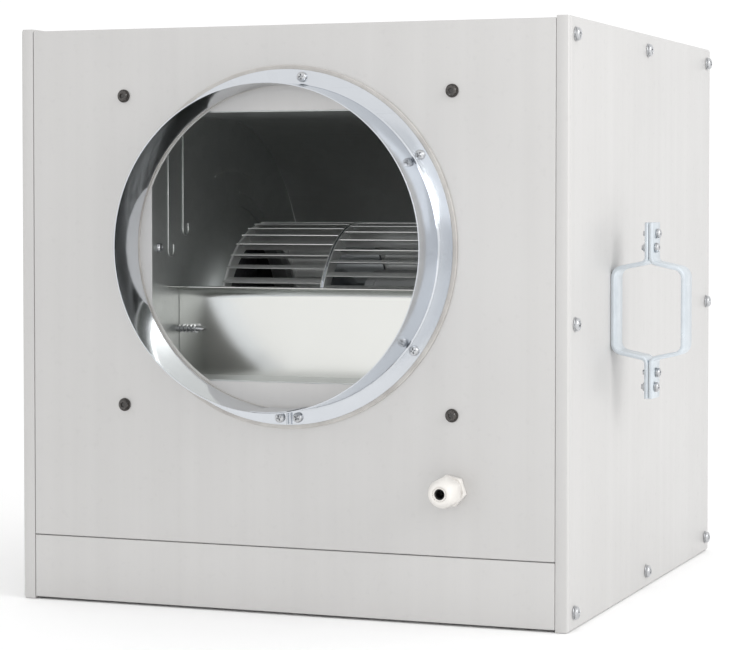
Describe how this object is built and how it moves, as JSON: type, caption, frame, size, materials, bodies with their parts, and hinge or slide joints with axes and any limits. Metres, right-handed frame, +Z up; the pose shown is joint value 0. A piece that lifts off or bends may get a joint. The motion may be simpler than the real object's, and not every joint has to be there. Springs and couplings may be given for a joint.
{
  "type": "inline duct fan",
  "caption": "Square acoustic box fan with a double-inlet centrifugal blower, round duct spigots front and rear, side handles and a cable gland.",
  "frame": {"origin": "middle of the box in plan, at the underside of its two side panels", "axes": "+Z up, -Y the way the air leaves through the outlet spigot, +X to the right when facing the outlet, which is the motor's side"},
  "size_m": [0.73, 0.694, 0.58],
  "materials": {
    "painted_panel": "satin light warm grey powder coat on folded sheet steel",
    "acoustic_foam": "dark open-cell foam slab",
    "galvanised_sheet": "bright galvanised sheet, satin with faint spangle",
    "dark_sheet": "dull dark galvanised sheet",
    "grey_gasket": "matt light grey sealing ring",
    "black_steel": "black oxide screw steel, slightly glossy",
    "steel": "plain turned steel",
    "motor_paint": "bare pressed motor shell, satin",
    "winding": "laminated core with lacquered copper winding",
    "zinc_plated": "zinc-plated strip, satin with light wear",
    "white_plastic": "off-white moulded nylon, satin",
    "black_rubber": "matt black rubber"
  },
  "bodies": {
    "casing": {"bottom_lining": "acoustic_foam", "bottom_panel": "painted_panel", "capacitor": "white_plastic", "capacitor_clip": "zinc_plated", "cutoff_plate": "galvanised_sheet", "front_lower_panel": "painted_panel", "front_panel": "painted_panel", "gland_body": "white_plastic", "gland_locknut": "white_plastic", "gland_nut": "white_plastic", "gland_seal": "black_rubber", "inlet_collar": "galvanised_sheet", "inlet_gasket": "grey_gasket", "left_bearing": "steel", "left_handle_inner": "zinc_plated", "left_handle_outer": "zinc_plated", "left_inlet_ring": "galvanised_sheet", "left_lining": "acoustic_foam", "left_side_panel": "painted_panel", "motor_arm_1": "zinc_plated", "motor_arm_2": "zinc_plated", "motor_arm_3": "zinc_plated", "motor_band": "zinc_plated", "motor_lead": "black_rubber", "motor_left_end_bell": "motor_paint", "motor_right_end_bell": "motor_paint", "motor_shell": "motor_paint", "motor_stator": "winding", "outlet_collar": "galvanised_sheet", "outlet_frame": "galvanised_sheet", "outlet_gasket": "grey_gasket", "outlet_screw_1": "black_steel", "outlet_screw_2": "black_steel", "outlet_screw_3": "black_steel", "outlet_screw_4": "black_steel", "rear_lining": "acoustic_foam", "rear_panel": "painted_panel", "right_bearing": "steel", "right_handle_inner": "zinc_plated", "right_handle_outer": "zinc_plated", "right_inlet_ring": "galvanised_sheet", "right_lining": "acoustic_foam", "right_side_panel": "painted_panel", "scroll_left_plate": "dark_sheet", "scroll_right_plate": "dark_sheet", "scroll_wrap": "dark_sheet", "terminal_box": "white_plastic", "terminal_box_lid": "white_plastic", "top_lining": "acoustic_foam", "top_panel": "painted_panel"},
    "rotor": {"impeller_disc": "galvanised_sheet", "left_blade_cage": "galvanised_sheet", "right_blade_cage": "galvanised_sheet", "impeller_hub": "steel", "motor_shaft": "steel", "motor_rotor": "steel", "hub_set_screw": "black_steel"}
  },
  "joints": [
    {"name": "rotor_spin", "type": "hinge", "parent": "casing", "child": "rotor", "pos_m": [0, -0.086, 0.266], "axis": [1, 0, 0], "continuous": true}
  ]
}
